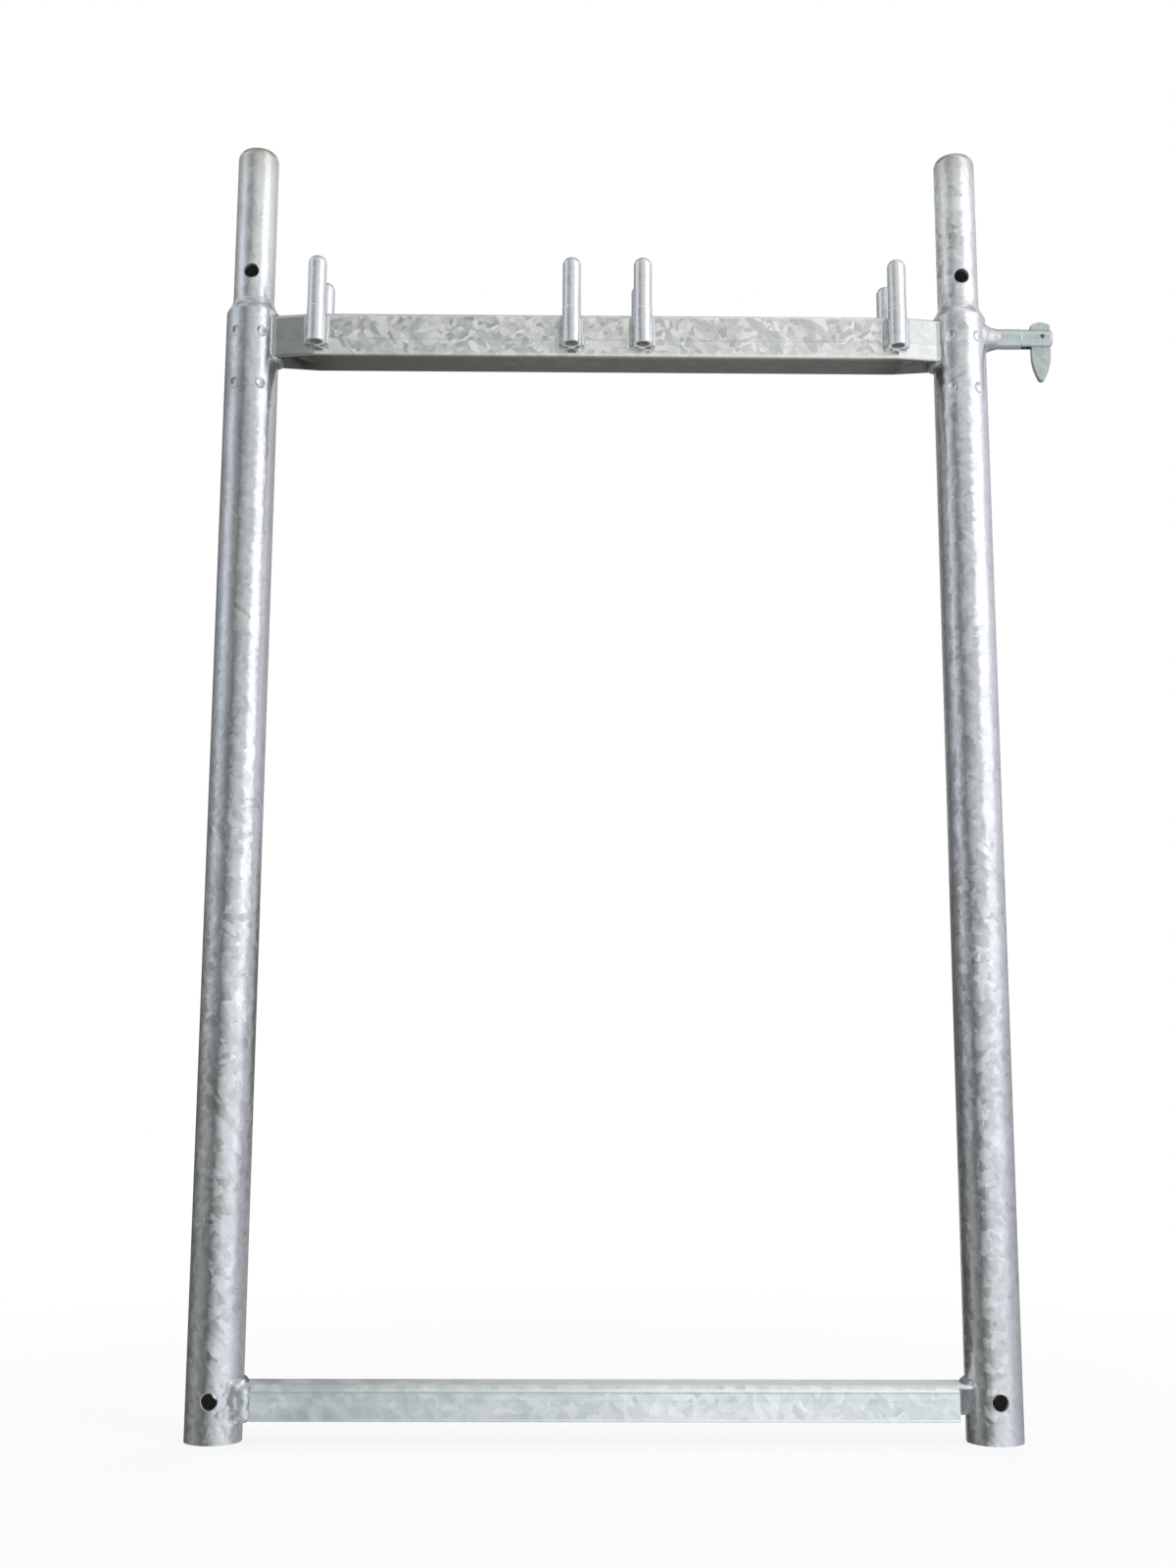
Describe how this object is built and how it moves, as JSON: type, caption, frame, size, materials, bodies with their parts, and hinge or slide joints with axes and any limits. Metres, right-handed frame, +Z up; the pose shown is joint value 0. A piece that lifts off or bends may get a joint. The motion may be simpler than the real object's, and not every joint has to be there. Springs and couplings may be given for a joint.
{
  "type": "scaffold frame",
  "caption": "Galvanised facade scaffold frame: tubular posts with spigots, a square transom with upright deck pins, a channel bottom rail and a guardrail bolt with a tilting latch.",
  "frame": {"origin": "midway between the two posts, in the plane of their feet", "axes": "+X along the frame from the left post to the right post with the guardrail bolt, +Y through the frame from its front to its rear face, +Z up along the posts"},
  "size_m": [0.7671, 0.0742, 1.161],
  "materials": {
    "zinc_post": "hot-dip galvanised, satin, with spangle",
    "zinc_spigot": "hot-dip galvanised, satin",
    "zinc_transom": "hot-dip galvanised, coarse spangle",
    "zinc_rail": "hot-dip galvanised, coarse spangle",
    "zinc_pin": "hot-dip galvanised, smooth",
    "zinc_bolt": "hot-dip galvanised, smooth",
    "zinc_latch": "zinc plated, matt",
    "zinc_weld": "galvanised weld bead"
  },
  "bodies": {
    "frame": {"bottom_rail": "zinc_rail", "deck_pin_front_1": "zinc_pin", "deck_pin_front_2": "zinc_pin", "deck_pin_front_3": "zinc_pin", "deck_pin_front_4": "zinc_pin", "deck_pin_rear_1": "zinc_pin", "deck_pin_rear_2": "zinc_pin", "deck_pin_rear_3": "zinc_pin", "deck_pin_rear_4": "zinc_pin", "deck_pin_weld_front_1": "zinc_weld", "deck_pin_weld_front_2": "zinc_weld", "deck_pin_weld_front_3": "zinc_weld", "deck_pin_weld_front_4": "zinc_weld", "deck_pin_weld_rear_1": "zinc_weld", "deck_pin_weld_rear_2": "zinc_weld", "deck_pin_weld_rear_3": "zinc_weld", "deck_pin_weld_rear_4": "zinc_weld", "guardrail_bolt": "zinc_bolt", "guardrail_bolt_weld": "zinc_weld", "latch_sleeve": "zinc_bolt", "left_post": "zinc_post", "left_spigot": "zinc_spigot", "rail_weld_left": "zinc_weld", "rail_weld_right": "zinc_weld", "right_post": "zinc_post", "right_spigot": "zinc_spigot", "top_transom": "zinc_transom", "transom_weld_left": "zinc_weld", "transom_weld_right": "zinc_weld"},
    "latch": {"latch_flap": "zinc_latch"}
  },
  "joints": [
    {"name": "latch_hinge", "type": "hinge", "parent": "frame", "child": "latch", "pos_m": [0.4042, 0, 0.981], "axis": [0, -1, 0], "range_deg": [-35, 90]}
  ]
}
